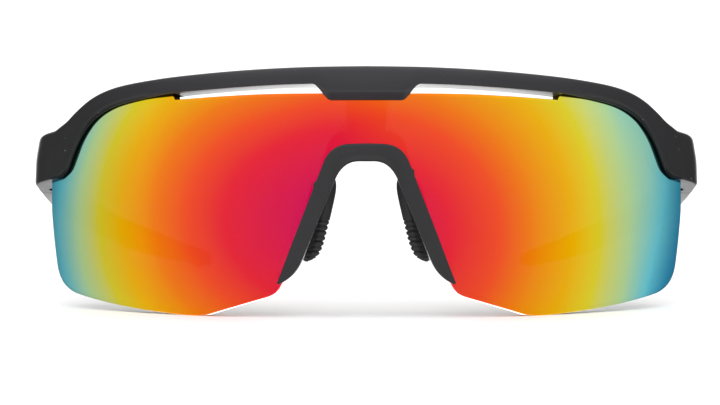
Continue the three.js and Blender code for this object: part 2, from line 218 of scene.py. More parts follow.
def combined(base, *tools):
    # tools are pairs of an operation and a shape; the result is one bmesh
    obj = meshObject("work", base)
    helpers = []
    for operation, shape in tools:
        helper = meshObject("tool", shape)
        helpers.append(helper)
        modifier = obj.modifiers.new("combine", "BOOLEAN")
        modifier.object, modifier.operation, modifier.solver = helper, operation, "EXACT"
    bpy.context.view_layer.update()
    evaluated = obj.evaluated_get(bpy.context.evaluated_depsgraph_get())
    result = bmesh.new()
    result.from_mesh(evaluated.to_mesh())
    evaluated.to_mesh_clear()
    for leftover in [obj] + helpers:
        bpy.data.objects.remove(leftover)
    bmesh.ops.remove_doubles(result, verts=result.verts, dist=1e-4)
    return result


def mirrorSide(bm, side):
    if sides[side] < 0:
        bmesh.ops.scale(bm, vec=(-1, 1, 1), verts=bm.verts)
        bmesh.ops.reverse_faces(bm, faces=bm.faces)
    return bm


def addPiece(name, bm, finish, body, nodes, sharp=32):
    bm.transform(toRow)
    obj = meshObject(name, bm)
    obj.data.materials.append(finish)
    obj.data.shade_smooth()
    obj.data.set_sharp_from_angle(angle=math.radians(sharp))
    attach(obj, body)
    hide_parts(*nodes)
    return obj


def standOnTable(bm):
    # cuts off what would be below the table
    table = toRow.inverted()
    up = (table.to_3x3() @ Vector((0, 0, 1))).normalized()
    bmesh.ops.bisect_plane(bm, geom=bm.verts[:] + bm.edges[:] + bm.faces[:],
                           plane_co=table @ Vector((0, 0, 0)), plane_no=up, clear_inner=True, dist=1e-5)
    bmesh.ops.holes_fill(bm, edges=[edge for edge in bm.edges if edge.is_boundary])
    return bm


# Finishes
def newFinish(name):
    material = bpy.data.materials.new(name)
    material.use_nodes = True
    return material, material.node_tree.nodes, material.node_tree.links


def grain(nodes, links, shader, scale, strength, distance, coordinates):
    noise = nodes.new("ShaderNodeTexNoise")
    noise.inputs["Scale"].default_value = scale
    noise.inputs["Detail"].default_value = 3
    bump = nodes.new("ShaderNodeBump")
    bump.inputs["Strength"].default_value = strength
    bump.inputs["Distance"].default_value = distance
    links.new(coordinates.outputs["Object"], noise.inputs["Vector"])
    links.new(noise.outputs["Fac"], bump.inputs["Height"])
    links.new(bump.outputs["Normal"], shader.inputs["Normal"])
    return noise.outputs["Fac"]


def cloudy(nodes, links, coordinates, scale):
    cloud = nodes.new("ShaderNodeTexNoise")
    cloud.inputs["Scale"].default_value = scale
    links.new(coordinates.outputs["Object"], cloud.inputs["Vector"])
    return cloud.outputs["Fac"]


def splitPlace(nodes, links, vector):
    place = nodes.new("ShaderNodeSeparateXYZ")
    links.new(vector, place.inputs["Vector"])
    return place.outputs


def calculated(nodes, links, operation, *values):
    # each value is a number or another node's output
    node = nodes.new("ShaderNodeMath")
    node.operation = operation
    for socket, value in zip(node.inputs, values):
        if isinstance(value, (int, float)):
            socket.default_value = value
        else:
            links.new(value, socket)
    return node.outputs["Value"]


def ranged(nodes, links, value, start, end, low=0, high=1, smooth=False):
    # takes start to end over to low to high
    node = nodes.new("ShaderNodeMapRange")
    if smooth:
        node.interpolation_type = "SMOOTHSTEP"
    for name, number in (("From Min", start), ("From Max", end), ("To Min", low), ("To Max", high)):
        node.inputs[name].default_value = number
    links.new(value, node.inputs["Value"])
    return node.outputs["Result"]


def blended(nodes, links, factor, first, second):
    # each colour is three numbers or another node's output
    node = nodes.new("ShaderNodeMix")
    node.data_type = "RGBA"
    links.new(factor, node.inputs["Factor"])
    for name, color in (("A", first), ("B", second)):
        if isinstance(color, (tuple, list)):
            node.inputs[name].default_value = (*color, 1)
        else:
            links.new(color, node.inputs[name])
    return node.outputs["Result"]


def ramped(nodes, links, value, stops):
    ramp = nodes.new("ShaderNodeValToRGB")
    elements = ramp.color_ramp.elements
    while len(elements) < len(stops):
        elements.new(0.5)
    for element, (place, color) in zip(elements, stops):
        element.position = place
        element.color = (*color, 1)
    links.new(value, ramp.inputs["Fac"])
    return ramp.outputs["Color"]


def unevenRoughness(nodes, links, shader, noise, values):
    low, high = values["roughness"] - values["smoother"], values["roughness"] + values["rougher"]
    links.new(ranged(nodes, links, noise, 0, 1, low, high), shader.inputs["Roughness"])


def mouldedPlastic(name, values):
    material, nodes, links = newFinish(name)
    shader = nodes["Principled BSDF"]
    coordinates = nodes.new("ShaderNodeTexCoord")
    grain(nodes, links, shader, values["grainScale"], values["grainStrength"], values["grainDepth"],
          coordinates)
    shader.inputs["Specular IOR Level"].default_value = values["specular"]
    # slow random change of tone, and a painted highlight: the base colour is paler in the middle of the
    # front than at the ends, standing in for the light the middle catches
    cloud = cloudy(nodes, links, coordinates, values["cloudScale"])
    tones = [[c * share for c in values["color"]] for share in values["cloudTones"]]
    tone = blended(nodes, links, cloud, *tones)
    place = splitPlace(nodes, links, coordinates.outputs["Object"])
    away = calculated(nodes, links, "ABSOLUTE", place["X"])
    paintedHighlight = ranged(nodes, links, away, values["highlightTo"], values["endsFrom"], values["middleHighlight"], 1)
    highlightedTone = nodes.new("ShaderNodeVectorMath")
    highlightedTone.operation = "SCALE"
    links.new(tone, highlightedTone.inputs[0])
    links.new(paintedHighlight, highlightedTone.inputs["Scale"])
    # sparse pale dust, most of it on the end blocks
    dots = nodes.new("ShaderNodeTexVoronoi")
    dots.inputs["Scale"].default_value = values["dustScale"]
    links.new(coordinates.outputs["Object"], dots.inputs["Vector"])
    near = calculated(nodes, links, "LESS_THAN", dots.outputs["Distance"], values["dustSize"])
    chosen = nodes.new("ShaderNodeSeparateColor")
    links.new(dots.outputs["Color"], chosen.inputs["Color"])
    rare = calculated(nodes, links, "LESS_THAN", chosen.outputs["Red"], values["dustShare"])
    both = calculated(nodes, links, "MULTIPLY", near, rare)
    outside = ranged(nodes, links, away, values["dustFrom"], values["endsFrom"], values["dustInside"], 1)
    seen = calculated(nodes, links, "MULTIPLY", both, outside)
    dusty = blended(nodes, links, seen, highlightedTone.outputs["Vector"], values["dustColor"])
    links.new(dusty, shader.inputs["Base Color"])
    unevenRoughness(nodes, links, shader, cloud, values)
    return material


def plainMetal(name, values):
    material, nodes, links = newFinish(name)
    shader = nodes["Principled BSDF"]
    shader.inputs["Base Color"].default_value = (*values["color"], 1)
    shader.inputs["Metallic"].default_value = 1
    coordinates = nodes.new("ShaderNodeTexCoord")
    noise = grain(nodes, links, shader, values["grainScale"], values["grainStrength"], values["grainDepth"],
                  coordinates)
    unevenRoughness(nodes, links, shader, noise, values)
    return material


# Distances along the frame and the depth of the grain are in metres
# middleHighlight is a painted highlight: how many times paler the middle of the front is painted than the
# ends
framePlastic = {
    "color": (0.0105, 0.0105, 0.0117), "specular": 0.2, "cloudScale": 55, "cloudTones": (0.85, 1.2),
    "roughness": 0.31, "smoother": 0.05, "rougher": 0.06,
    "grainScale": 3200, "grainStrength": 0.12, "grainDepth": 0.00004,
    "dustScale": 1500, "dustSize": 0.15, "dustShare": 0.03, "dustColor": (0.3, 0.3, 0.31),
    "dustInside": 0.15, "dustFrom": 0.05, "endsFrom": 0.066, "highlightTo": 0.02, "middleHighlight": 2.9,
}
bridgePlastic = dict(framePlastic, color=(0.0225, 0.0225, 0.0242), roughness=0.32, dustShare=0.006,
                     middleHighlight=1.0)
softRubber = dict(framePlastic, color=(0.03, 0.03, 0.032), roughness=0.46, grainScale=1800, dustShare=0.004,
                  middleHighlight=1.0)
mattBlack = mouldedPlastic("mattBlackNylon", framePlastic)
bridgeBlack = mouldedPlastic("noseBridgeNylon", bridgePlastic)
blackRubber = mouldedPlastic("softBlackRubber", softRubber)
# painted shade: a darker, duller copy of the frame finish for the lens groove's wall, standing in for the
# shade in the groove
grooveShade = mouldedPlastic("lensGroovePaintedShade", dict(framePlastic, color=(0.003, 0.003, 0.0035), roughness=0.8,
                                                specular=0.08, dustShare=0.0, middleHighlight=1.0))
steelMetal = {"color": (0.62, 0.62, 0.64), "roughness": 0.28, "smoother": 0.08, "rougher": 0.1,
              "grainScale": 2500, "grainStrength": 0.15, "grainDepth": 0.00002}
brassMetal = dict(steelMetal, color=(0.72, 0.52, 0.25), roughness=0.3)
steel = plainMetal("turnedSteel", steelMetal)
brass = plainMetal("turnedBrass", brassMetal)

# The mirror coating: each half of the lens has its own colours, by an oval distance in millimetres from a
# point on the middle line. ovals gives that point's height, how much more the distance up or down
# counts near the middle and at the side, and how far the bands lean over towards the side. bands names the
# colours from the middle outwards, and left and right give the distance of each.
mirrorCoat = {
    "ovals": {"left": (17.6, (1.12, 0.98), 0.2), "right": (20.6, (1.52, 1.24), 0.05)}, "halfBlend": 9.0,
    "stretchStart": 15.0, "stretchEnd": 58.0, "turnStart": 54.0, "turnEnd": 63.0, "turnHeight": 20.6,
    "roughness": 0.05, "metallic": 1.0, "frontAlpha": 0.98,
    "bands": {"rose": (210, 5, 80), "red": (230, 30, 50), "vermilion": (240, 75, 30),
              "orange": (240, 120, 10), "amber": (235, 175, 0), "yellow": (220, 205, 40),
              "paleGreen": (185, 220, 155), "aqua": (110, 215, 230), "blue": (35, 160, 205),
              "deepBlue": (5, 120, 180)},
    "left": (8, 18, 28, 34, 44, 50, 57, 65, 70, 77),
    "right": (14, 30, 38, 45, 53, 58, 63, 68, 72, 79),
    "reach": 85.0,
}


def linear(value):
    value /= 255
    return value / 12.92 if value <= 0.04045 else ((value + 0.055) / 1.055) ** 2.4


def ovalDistance(nodes, links, place, away, values, side):
    height, stretch, turn = values["ovals"][side]
    turning = ranged(nodes, links, away, values["turnStart"], values["turnEnd"], 0, -turn, True)
    above = calculated(nodes, links, "SUBTRACT", place["Z"], values["turnHeight"])
    across = calculated(nodes, links, "MULTIPLY_ADD", above, turning, place["X"])
    stretching = ranged(nodes, links, away, values["stretchStart"], values["stretchEnd"], *stretch, True)
    fromMiddle = calculated(nodes, links, "SUBTRACT", place["Z"], height)
    upright = calculated(nodes, links, "MULTIPLY", fromMiddle, stretching)
    oval = nodes.new("ShaderNodeCombineXYZ")
    links.new(across, oval.inputs["X"])
    links.new(upright, oval.inputs["Z"])
    distance = nodes.new("ShaderNodeVectorMath")
    distance.operation = "LENGTH"
    links.new(oval.outputs["Vector"], distance.inputs[0])
    return distance.outputs["Value"]


def mirrorFinish(values):
    material, nodes, links = newFinish("mirrorCoat")
    shader = nodes["Principled BSDF"]
    coordinates = nodes.new("ShaderNodeTexCoord")
    measured = nodes.new("ShaderNodeMapping")
    measured.inputs["Scale"].default_value = (1000, 0, 1000)
    links.new(coordinates.outputs["Object"], measured.inputs["Vector"])
    place = splitPlace(nodes, links, measured.outputs["Vector"])
    away = calculated(nodes, links, "ABSOLUTE", place["X"])
    halves = {}
    for side in values["ovals"]:
        distance = ovalDistance(nodes, links, place, away, values, side)
        scaled = calculated(nodes, links, "DIVIDE", distance, values["reach"])
        stops = [(at / values["reach"], [linear(c) for c in color])
                 for at, color in zip(values[side], values["bands"].values())]
        halves[side] = ramped(nodes, links, scaled, stops)
    half = ranged(nodes, links, place["X"], -values["halfBlend"], values["halfBlend"], smooth=True)
    joined = blended(nodes, links, half, halves["right"], halves["left"])
    links.new(joined, shader.inputs["Base Color"])
    shader.inputs["Metallic"].default_value = values["metallic"]
    shader.inputs["Roughness"].default_value = values["roughness"]
    shader.inputs["Alpha"].default_value = values["frontAlpha"]
    return material


lensMirror = mirrorFinish(mirrorCoat)

# The tint of the lens seen from behind fades from fadeTo down to fadeFrom, heights above the table in metres
smokeTint = {"deep": (0.024, 0.015, 0.014), "pale": (0.05, 0.033, 0.03), "alpha": 0.6, "fadeFrom": 0.004,
             "fadeTo": 0.046, "roughness": 0.08, "smoother": 0.03, "rougher": 0.04, "cloudScale": 60}


def smokeFinish(values):
    # the tint is deepest at the top of the lens and a little cloudy
    material, nodes, links = newFinish("smokeTint")
    shader = nodes["Principled BSDF"]
    coordinates = nodes.new("ShaderNodeTexCoord")
    place = splitPlace(nodes, links, coordinates.outputs["Object"])
    fade = ranged(nodes, links, place["Z"], values["fadeTo"], values["fadeFrom"])
    tone = blended(nodes, links, fade, values["deep"], values["pale"])
    links.new(tone, shader.inputs["Base Color"])
    cloud = cloudy(nodes, links, coordinates, values["cloudScale"])
    unevenRoughness(nodes, links, shader, cloud, values)
    shader.inputs["Alpha"].default_value = values["alpha"]
    return material


lensTint = smokeFinish(smokeTint)
print("finishes made")

# Outlines of the front: distance round it and height
frontTop = heightAt(smoothLine([
    (0, 28.4), (13, 28.25), (26, 27.75), (40, 26.85), (49, 26.0), (56, 25.05), (61, 23.8), (65, 22.1),
    (68.5, 19.9), (71, 18.1), (73.5, 16.85), (76.5, 16.2)]))
ventCeiling = heightAt(smoothLine([
    (0, 24.6), (12, 24.6), (20, 24.4), (30, 23.9), (41, 23.2), (48, 22.4), (53, 21.65), (57.5, 20.7),
    (61, 19.4), (64, 17.6), (66.5, 15.2), (68.5, 12.5), (70.2, 9.3), (71.6, 6.8), (73.6, 5.5)]))
lensVentTop = heightAt(smoothLine([(8, 22.7), (20, 22.68), (30, 22.38), (43, 21.75)]))
lensFloorLine = drawnLine((17.8, -17.0), (18.5, -18.2), (19.4, -19.4, 21.6, -19.95), (33.2, -23.25),
                          (35.4, -24.05, 38.5, -23.95), (56, -22.8, 70, -19.95), (75.3, -18.6, 76.2, -14.2),
                          (76.9, -9.5, 77.7, -2))
lensNotchLine = drawnLine((0, 10.4), (2.6, 10.3), (6.2, 10.2, 7.6, 6.5), (15.9, -13.9), (17.8, -17.0))
lensFloor, lensNotch = heightAt(lensFloorLine), heightAt(lensNotchLine)
# the nosepiece's outlines in three lengths: round the top, down the leg, round the foot
archOuter = [drawnLine((0, 12.25), (3.6, 12.15), (7.6, 11.9, 8.9, 7.9)),
             drawnLine((8.9, 7.9), (17.15, -13.4)), drawnLine((17.15, -13.4), (18.5, -16.7))]
archInner = [drawnLine((0, 8.4), (1.6, 8.4), (4.6, 8.4, 6.2, 5.0)), drawnLine((6.2, 5.0), (13.1, -11.9)),
             drawnLine((13.1, -11.9), (14.6, -15.6, 18.1, -17.0))]

# Spans are distances round the front over which one section turns into the next. blockTop and blockFloor
# are where the end block's edges start, before they drop towards the temple.
browShape = {
    "plateHalf": 7.4, "plateEdge": 11.2, "plateFloor": 21.2, "thickSpan": (8, 16), "sideSpan": (42, 50),
    "barEnd": 56, "blockSpan": (73, 76), "middleHeight": 8,
    "blockTop": (29.8, 15.4), "blockFloor": (31.2, 4.2),
    "plateBevel": (1.65, 1.9), "ventBevel": (0.2, 0.2), "sideBevel": (0.6, 0.6), "blockBevel": 0.4,
    "lipBack": 0.6, "blockDraft": 0.3, "crown": 0.3, "rearDrop": 0.6, "rearTopDrop": 0.2,
    "rounds": (1.3, 1.2, 0.6, 0.25, 0.5, 1.4), "steps": (0.8, 0.35, 0.9, 0.5, 0.35, 1.2),
    "wallRow": 17, "wallSpan": (42.5, 75), "lensGap": 0.12, "pocket": ((-2.9, 1.0, 18), (2.9, 4.3, 26.3)),
}


def blockEdge(start, y):
    return start[1] - (y - start[0]) * drop


def browLoop(a):
    values = browShape
    along = abs(a)
    onPlate = 1 - ease(along, values["plateHalf"], values["plateEdge"])
    onSide = ease(along, *values["sideSpan"])
    inBlock = ease(along, *values["blockSpan"])
    depth = mix(layout["depth"], layout["browDepth"], 1 - ease(along, *values["thickSpan"]))
    proud = layout["proud"]
    bevel = [mix(mix(v, s, onSide), p, onPlate)
             for v, s, p in zip(values["ventBevel"], values["sideBevel"], values["plateBevel"])]
    bevel = [mix(b, values["blockBevel"], inBlock) for b in bevel]
    depths = [wrapPoint(a, values["middleHeight"], n).y for n in (proud, -depth)]
    top = [mix(frontTop(along), blockEdge(values["blockTop"], y), inBlock) for y in depths]
    low = [mix(ventCeiling(along), blockEdge(values["blockFloor"], y), inBlock) for y in depths]
    low[0] = mix(low[0], values["plateFloor"], onPlate)
    low[1] -= values["rearDrop"] * (1 - inBlock)
    lip = proud - values["lipBack"] * onSide * (1 - inBlock) + values["blockDraft"] * inBlock
    proud -= values["blockDraft"] * inBlock
    corners = [(proud, top[0]), (-depth, top[1] - values["rearTopDrop"] * (1 - inBlock)), (-depth, low[1]),
               (lip - bevel[0], low[0]), (lip, low[0] + bevel[1]),
               ((proud + lip) / 2 + values["crown"], (top[0] + low[0]) / 2)]
    loop = roundedLoop([Vector(corner) for corner in corners], values["rounds"])
    return [wrapPoint(a, z, n) for n, z in loop]


# The lens's top edge is a tab behind the brow plate, runs below the vents, and is tucked into the bar at the
# sides. The notch and the floor need closer steps where they are steep.
lensShape = {
    "tabHalf": 8.6, "tabTop": 25.0, "tabEdge": 0.4, "ventSpan": (41.6, 43.6), "tuckSpan": (42.1, 43.3),
    "tuckFull": 43.4, "tuck": 1.6, "sideStart": 70, "sideEnd": 77.7, "sideTop": 4.9, "notchHalf": 17.8,
    "steepFloor": 74, "steepNotch": 8, "ventStep": 0.15, "sideStep": 0.25, "rounds": (0.2, 0.08, 0.2, 0.2),
}


def lensSkin(clear=0.0, step=0.8, rows=40):
    # clear is added all round for the groove that holds the lens
    values = lensShape
    tabHalf = values["tabHalf"] + clear
    ventStart, ventEnd = values["ventSpan"]
    distances = {p[0] for p in lensFloorLine if p[0] > values["steepFloor"]}
    distances |= {p[0] for p in lensNotchLine if 0 < p[0] < values["steepNotch"]}
    distances |= {tabHalf, tabHalf + values["tabEdge"], values["sideEnd"] + clear}
    for stretch in ((0, ventStart, step), (ventStart, ventEnd, values["ventStep"]),
                    (ventEnd, values["sideStart"], step),
                    (values["sideStart"], values["sideEnd"], values["sideStep"])):
        distances |= set(spread(*stretch))
    loops = []
    for a in bothSides(sorted(distances)):
        along = abs(a)
        if along <= tabHalf:
            top = values["tabTop"]
        elif along < values["tuckFull"]:
            tucked = ventCeiling(along) + values["tuck"]
            top = mix(lensVentTop(along), tucked, ease(along, *values["tuckSpan"]))
        else:
            top = max(ventCeiling(along) + values["tuck"], values["sideTop"])
        low = lensNotch(along) if along < values["notchHalf"] else lensFloor(along)
        high = top + clear
        front, back = layout["lensRise"] + clear, -layout["lensThickness"] - clear
        corners = [Vector(c) for c in ((front, low), (front, high), (back, high), (back, low))]
        loop = roundedLoop(corners, values["rounds"], 3, [rows, 0, rows, 0])
        loops.append([wrapPoint(a, z, n) for n, z in loop])
    return skin(loops)


# Holes and drums are a radius, a low end and a high end, measured from the hinge's middle
hingeShape = {
    "slotRadius": 2.75, "slotHalf": 2.15, "slotInside": 6.0, "slotRear": 8, "slotOverlap": 1,
    "blockHoles": ((1.65, -9, -3.95), (1.0, -9, 0), (1.5, 0, 4.8)), "blockClear": (3.85, -9, 9),
    "knuckle": (2.4, -1.9, 1.9), "tongue": ((-1.5, 0.1, -1.9), (2.4, 4.6, 1.9)), "bushHole": (1.45, -3, 3),
    "screwHead": (1.35, -5.0, -4.1), "screwShank": (0.7, -4.6, 4.0),
    "screwSlot": ((-1.6, -0.22, -5.3), (1.6, 0.22, -4.75)),
}


def boxFrom(corner, ends):
    return block(*[corner + Vector(end) for end in ends])


def hingeTools(sign):
    # the slot that the temple's tongue turns in, and the holes for the screw and its insert
    values = hingeShape
    spot = Vector((layout["hinge"].x * sign, layout["hinge"].y, layout["hinge"].z))
    half, radius = values["slotHalf"], values["slotRadius"]
    edges = sorted((-values["slotInside"] * sign, radius * sign))
    inner = sorted((-values["slotInside"] * sign, 0.0))
    rear = boxFrom(spot, ((edges[0], 0, -half), (edges[1], values["slotRear"], half)))
    throat = boxFrom(spot, ((inner[0], -radius, -half), (inner[1], values["slotOverlap"], half)))
    slot = combined(drum(radius, -half, half, spot), ("UNION", rear), ("UNION", throat))
    return [("DIFFERENCE", slot)] + [("DIFFERENCE", drum(*hole, spot)) for hole in values["blockHoles"]]


def makeBrowFrame():
    values = browShape
    end = turnTo + layout["hinge"].y + layout["blockRear"] - wrapPoint(turnTo, 0, 0).y
    marks = (0, values["plateHalf"], values["plateEdge"], values["barEnd"], values["blockSpan"][0],
             turnTo, end)
    stations = bothSides([a for stretch in zip(marks, marks[1:], values["steps"]) for a in spread(*stretch)])

    def paintedShadeWall(column, row):
        # the faces between the rear and the front corner of the bar's underside, which take the painted
        # shade of the lens groove
        station = abs(stations[min(int(column), len(stations) - 1)])
        return row == values["wallRow"] and values["wallSpan"][0] < station < values["wallSpan"][1]

    bar = skin([browLoop(a) for a in stations], paintedShadeWall)
    groove = lensSkin(values["lensGap"], step=1.2, rows=12)
    tools = [("DIFFERENCE", groove), ("DIFFERENCE", block(*values["pocket"]))]
    tools += hingeTools(1) + hingeTools(-1)
    frameShape = combined(bar, *tools)
    obj = addPiece("browFrame", frameShape, mattBlack, "front", ["brow_frame"], 38)
    obj.data.materials.append(grooveShade)
    return obj


makeBrowFrame()
print("brow frame made")


def makeLens():
    bm = standOnTable(lensSkin())
    obj = addPiece("shieldLens", bm, lensMirror, "front", ["shield_lens"], 40)
    obj.data.materials.append(lensTint)
    # only faces that look forwards carry the mirror
    for face in obj.data.polygons:
        if face.normal.y > -0.05:
            face.material_index = 1
    return obj


makeLens()
print("lens made")


def halfArch(lines, counts):
    points = [lines[0][0]]
    for line, count in zip(lines, counts):
        points += evenly(line, count)[1:]
    return points


def archSkin(outer, inner, counts, section):
    # section gives the corners and how far each is rounded, from the width and a spot on the outer line
    outerHalf, innerHalf = halfArch(outer, counts), halfArch(inner, counts)
    last = len(outerHalf) - 1
    loops = []
    for i in range(-last, last + 1):
        out, inn = outerHalf[abs(i)].copy(), innerHalf[abs(i)].copy()
        out.x, inn.x = math.copysign(out.x, i), math.copysign(inn.x, i)
        width = (out - inn).length
        corners, rounds = section(width, out)
        loop = roundedLoop([Vector(corner) for corner in corners], rounds)
        loops.append([wrapPoint(*inn.lerp(out, s / width), n) for s, n in loop])
    return skin(loops)


noseShape = {
    "proud": 2.2, "lip": 1.95, "seat": 0.75,
    "rimWide": 1.75, "rimDeep": 0.8, "rimLeast": 0.2, "rimSpan": (2, 11),
    "nubs": [(1, 6.4), (-1, 3.7)], "nubReach": 0.4, "nubHalf": 0.5, "wallDraft": 0.55, "draftShare": 0.3,
    "webShare": 0.15, "outerRounds": (0.15, 0.5), "rimRounds": (0.7, 0.6), "webRounds": (0.3, 0.3, 0.1),
}


def noseSection(width, spot):
    # the small nubs on the outer edge stand at their own heights on each side
    values = noseShape
    edge = width
    for sign, height in values["nubs"]:
        if sign * spot.x > 0:
            edge += values["nubReach"] * math.exp(-((spot.y - height) / values["nubHalf"]) ** 2)
    draft = min(values["wallDraft"], values["draftShare"] * width)
    web = max(draft + values["webShare"] * width, width - values["lip"])
    back = -layout["lensThickness"]
    rim = mix(values["rimLeast"], 1, ease(spot.y, *values["rimSpan"]))
    corners = ((edge, values["seat"]), (edge, values["proud"]), (values["rimWide"] * rim, values["proud"]),
               (0, values["proud"] - values["rimDeep"] * rim), (draft, back), (web, back),
               (web, values["seat"]))
    rimRounds = [reach * rim for reach in values["rimRounds"]]
    return corners, (*values["outerRounds"], *rimRounds, *values["webRounds"])


def makeNoseBridge():
    bm = archSkin(archOuter, archInner, (34, 60, 22), noseSection)
    return addPiece("noseBridge", bm, bridgeBlack, "front", ["nose_bridge"], 50)


makeNoseBridge()

carrierShape = {
    "front": -2.3, "back": -4.1, "rounds": (0.3, 0.3, 0.6, 0.6), "pivot": Vector((8.8, 0, 3.6)),
    "outer": [drawnLine((0, 15.1), (4.6, 15.0), (8.2, 14.6, 9.0, 10.2)),
              drawnLine((9.0, 10.2), (15.6, -11.2))],
    "inner": [drawnLine((0, 9.0), (1.8, 9.0), (5.0, 9.0, 6.8, 5.0)), drawnLine((6.8, 5.0), (13.6, -11.4))],
    "post": ((13.6, 4.1), (16, 4.15), (19, 4.4), (22.6, 4.7)), "postKey": ((-2.5, 2.65, 21), (2.5, 3.8, 26)),
    "bosses": (("UNION", 1.6, 3.2, 6.2), ("DIFFERENCE", 0.9, 4.4, 8)),
}


def carrierSection(width, spot):
    front, back = carrierShape["front"], carrierShape["back"]
    return ((width, front), (0, front), (0, back), (width, back)), carrierShape["rounds"]


def makeNoseCarrier():
    # post gives heights and half widths, and bosses hold the roots of the pad wires
    values = carrierShape
    flange = archSkin(values["outer"], values["inner"], (26, 40), carrierSection)
    postLoops = []
    for z, half in values["post"]:
        corners = [Vector(c) for c in ((-half, values["front"]), (half, values["front"]),
                                       (half, values["back"]), (-half, values["back"]))]
        postLoops.append([wrapPoint(a, z, n) for a, n in roundedLoop(corners, values["rounds"])])
    tools = [("UNION", skin(postLoops)), ("UNION", block(*values["postKey"]))]
    turned = Matrix.Rotation(-math.pi / 2, 3, "X")
    for sign in (1, -1):
        for operation, radius, low, high in values["bosses"]:
            boss = drum(radius, low, high, (0, 0, 0))
            bmesh.ops.rotate(boss, cent=(0, 0, 0), matrix=turned, verts=boss.verts)
            pivot = Vector((values["pivot"].x * sign, 0, values["pivot"].z))
            bmesh.ops.translate(boss, vec=pivot, verts=boss.verts)
            tools.append((operation, boss))
    carrier = combined(flange, *tools)
    return addPiece("noseCarrier", carrier, mattBlack, "front", ["nose_carrier"])


makeNoseCarrier()
print("nosepiece made")

padShape = {
    "top": Vector((8.45, 10.2, 6.0)), "foot": Vector((12.8, 11.5, -12.6)),
    "across": Vector((0.55, 0.83, 0)).normalized(), "halfWidth": 4.0, "halfThickness": 1.45,
    "endPower": 5, "endLeast": 0.012, "thinEnd": 0.55, "thinFrom": 0.6, "edgeRound": 1.3,
    "ribs": 8, "ribFrom": 0.525, "ribDepth": 0.38, "ribPower": 0.6, "count": 160,
}


def makeNosePad(side):
    values = padShape
    outward = Vector((values["across"].y, -values["across"].x, 0))
    loops = []
    for i in range(values["count"] + 1):
        down = i / values["count"]
        rounding = math.sqrt(max(values["endLeast"], 1 - abs(2 * down - 1) ** values["endPower"]))
        share = (down - values["ribFrom"]) / (1 - values["ribFrom"])
        wave = abs(math.sin(math.pi * share * values["ribs"])) ** values["ribPower"] if 0 < share < 1 else 1
        rib = -values["ribDepth"] * (1 - wave) if share > 0 else 0
        width = values["halfWidth"] * rounding + rib
        thick = values["halfThickness"] * mix(values["thinEnd"], 1, rounding)
        thick = thick * (rounding if rounding < values["thinFrom"] else 1) + rib
        corners = [Vector(c) for c in ((width, thick), (-width, thick), (-width, -thick), (width, -thick))]
        middle = values["top"].lerp(values["foot"], down)
        outline = roundedLoop(corners, [values["edgeRound"]] * 4, 6)
        loops.append([middle + values["across"] * s + outward * t for s, t in outline])
    bm = mirrorSide(skin(loops), side)
    return addPiece(f"{side}NosePad", bm, blackRubber, f"{side}_pad", [f"{side}_nose_pad"], 60)


padWireShape = {"radius": 0.6, "sides": 16, "route": [(8.8, 4.7, 3.6), (8.8, 8.2, 3.6), (9.1, 9.6, 2.9),
                                                      (9.6, 9.9, 1), (10.8, 10.5, -4)]}


def makePadWire(side):
    values = padWireShape
    points = [Vector(p) for p in smoothLine(values["route"], 8)]
    turns = [2 * math.pi * k / values["sides"] for k in range(values["sides"])]
    loops = []
    for i, point in enumerate(points):
        ahead = (points[min(i + 1, len(points) - 1)] - points[max(i - 1, 0)]).normalized()
        right = ahead.cross(Vector((1, 0, 0))).normalized()
        up = right.cross(ahead)
        loops.append([point + (right * math.cos(t) + up * math.sin(t)) * values["radius"] for t in turns])
    bm = mirrorSide(skin(loops), side)
    return addPiece(f"{side}PadWire", bm, steel, f"{side}_pad", [f"{side}_pad_wire"])


# halfWidths and halfHeights are the size at the front, and what is lost along the arm and at the tip
templeShape = {
    "length": 117.8, "gripStart": 75.0, "bendStart": 31.0, "bend": 0.01115, "bendPower": 1.75,
    "halfWidths": (2.8, 0.9, 0.3), "halfHeights": (5.43, 2.6, 1), "slimSpan": (2, 30), "taperSpan": (4, 80),
    "tipStart": 80, "rise": 0.12, "curve": 0.000108, "edgeRounds": (0.35, 1.1), "edgeSpan": (3, 25),
    "crown": 0.12, "crownRound": 1.5, "step": 1.5, "seam": 0.1, "seamBevel": 0.18, "tang": 0.45,
}


def templeAt(y):
    values = templeShape
    bend = max(0.0, y - values["bendStart"]) ** values["bendPower"] * values["bend"]
    slim, taper = ease(y, *values["slimSpan"]), ease(y, *values["taperSpan"])
    tip = ease(y, values["tipStart"], values["length"])
    width, slimmed, tipSlimmed = values["halfWidths"]
    height, tapered, tipTapered = values["halfHeights"]
    half = width - slimmed * slim - tipSlimmed * tip
    tall = height - tapered * taper - tipTapered * tip
    outer = layout["halfWidth"] - layout["hinge"].x
    return outer - half - bend, values["rise"] - drop * y + values["curve"] * y * y, half, tall


def templeLoop(y, more=0.0, shrink=1.0):
    values = templeShape
    x, z, half, tall = templeAt(y)
    half, tall = (half + more) * shrink, (tall + more) * shrink
    reach = mix(*values["edgeRounds"], ease(y, *values["edgeSpan"]))
    corners = [Vector(c) for c in ((half, -tall), (half + values["crown"] * shrink, 0), (half, tall),
                                   (-half, tall), (-half, -tall))]
    loop = roundedLoop(corners, [reach, values["crownRound"], reach, reach, reach])
    return [layout["hinge"] + Vector((x + s, y, z + t)) for s, t in loop]


